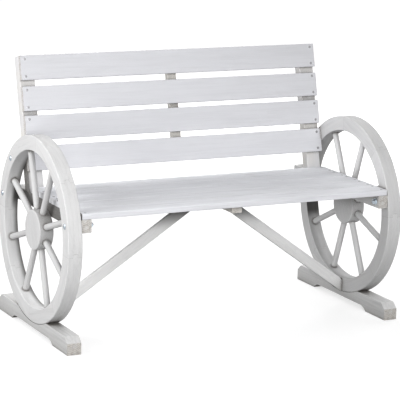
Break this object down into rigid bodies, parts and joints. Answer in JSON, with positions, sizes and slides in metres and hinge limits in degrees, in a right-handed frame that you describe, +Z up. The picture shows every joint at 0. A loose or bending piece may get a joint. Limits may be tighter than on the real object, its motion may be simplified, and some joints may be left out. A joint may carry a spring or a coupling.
{
  "type": "wagon wheel bench",
  "caption": "Garden bench with a slatted seat and a leaning slatted back, hung between spoked wooden wagon wheels that stand on grooved feet.",
  "frame": {"origin": "on the ground, midway between the wheels and under their centres", "axes": "+X along the bench, towards the right as seen from the front; +Y towards the back; +Z up"},
  "size_m": [1.058, 0.536, 0.7603],
  "materials": {
    "wheel_white": "thin white paint over turned and sawn wood, rubbed at the edges and dark in the joints",
    "frame_white": "white paint over sawn wood, with bare beige end grain at the cut ends",
    "seat_white": "cool white paint over planed boards, with raised streaks of grain and eased edges",
    "slat_white": "smooth white paint over planed boards, with faint grain and eased edges",
    "pale_wood": "pale sawn wood under a thin wash of white paint",
    "zinc_steel": "bright zinc-plated steel, slightly dulled"
  },
  "bodies": {
    "root": {"left_felloe_1": "wheel_white", "left_felloe_2": "wheel_white", "left_felloe_3": "wheel_white", "left_felloe_4": "wheel_white", "left_felloe_5": "wheel_white", "left_felloe_6": "wheel_white", "left_felloe_7": "wheel_white", "left_felloe_8": "wheel_white", "right_felloe_1": "wheel_white", "right_felloe_2": "wheel_white", "right_felloe_3": "wheel_white", "right_felloe_4": "wheel_white", "right_felloe_5": "wheel_white", "right_felloe_6": "wheel_white", "right_felloe_7": "wheel_white", "right_felloe_8": "wheel_white", "left_spoke_1": "wheel_white", "left_spoke_2": "wheel_white", "left_spoke_3": "wheel_white", "left_spoke_4": "wheel_white", "left_spoke_5": "wheel_white", "left_spoke_6": "wheel_white", "left_spoke_7": "wheel_white", "left_spoke_8": "wheel_white", "right_spoke_1": "wheel_white", "right_spoke_2": "wheel_white", "right_spoke_3": "wheel_white", "right_spoke_4": "wheel_white", "right_spoke_5": "wheel_white", "right_spoke_6": "wheel_white", "right_spoke_7": "wheel_white", "right_spoke_8": "wheel_white", "left_hub": "wheel_white", "left_foot": "frame_white", "left_seat_rail": "frame_white", "left_back_post": "frame_white", "left_brace": "frame_white", "right_hub": "wheel_white", "right_foot": "frame_white", "right_seat_rail": "frame_white", "right_back_post": "frame_white", "right_brace": "frame_white", "seat_board_1": "seat_white", "seat_board_2": "seat_white", "seat_board_3": "seat_white", "seat_board_4": "seat_white", "seat_board_5": "seat_white", "back_slat_1": "slat_white", "back_slat_2": "slat_white", "back_slat_3": "slat_white", "back_slat_4": "slat_white", "centre_bearer": "pale_wood", "middle_batten": "pale_wood", "carriage_bolts": "zinc_steel", "bolt_washers": "zinc_steel", "bolt_nuts": "zinc_steel", "seat_screws": "zinc_steel", "slat_screws": "zinc_steel", "short_screws": "zinc_steel", "frame_screws": "zinc_steel"}
  },
  "joints": []
}
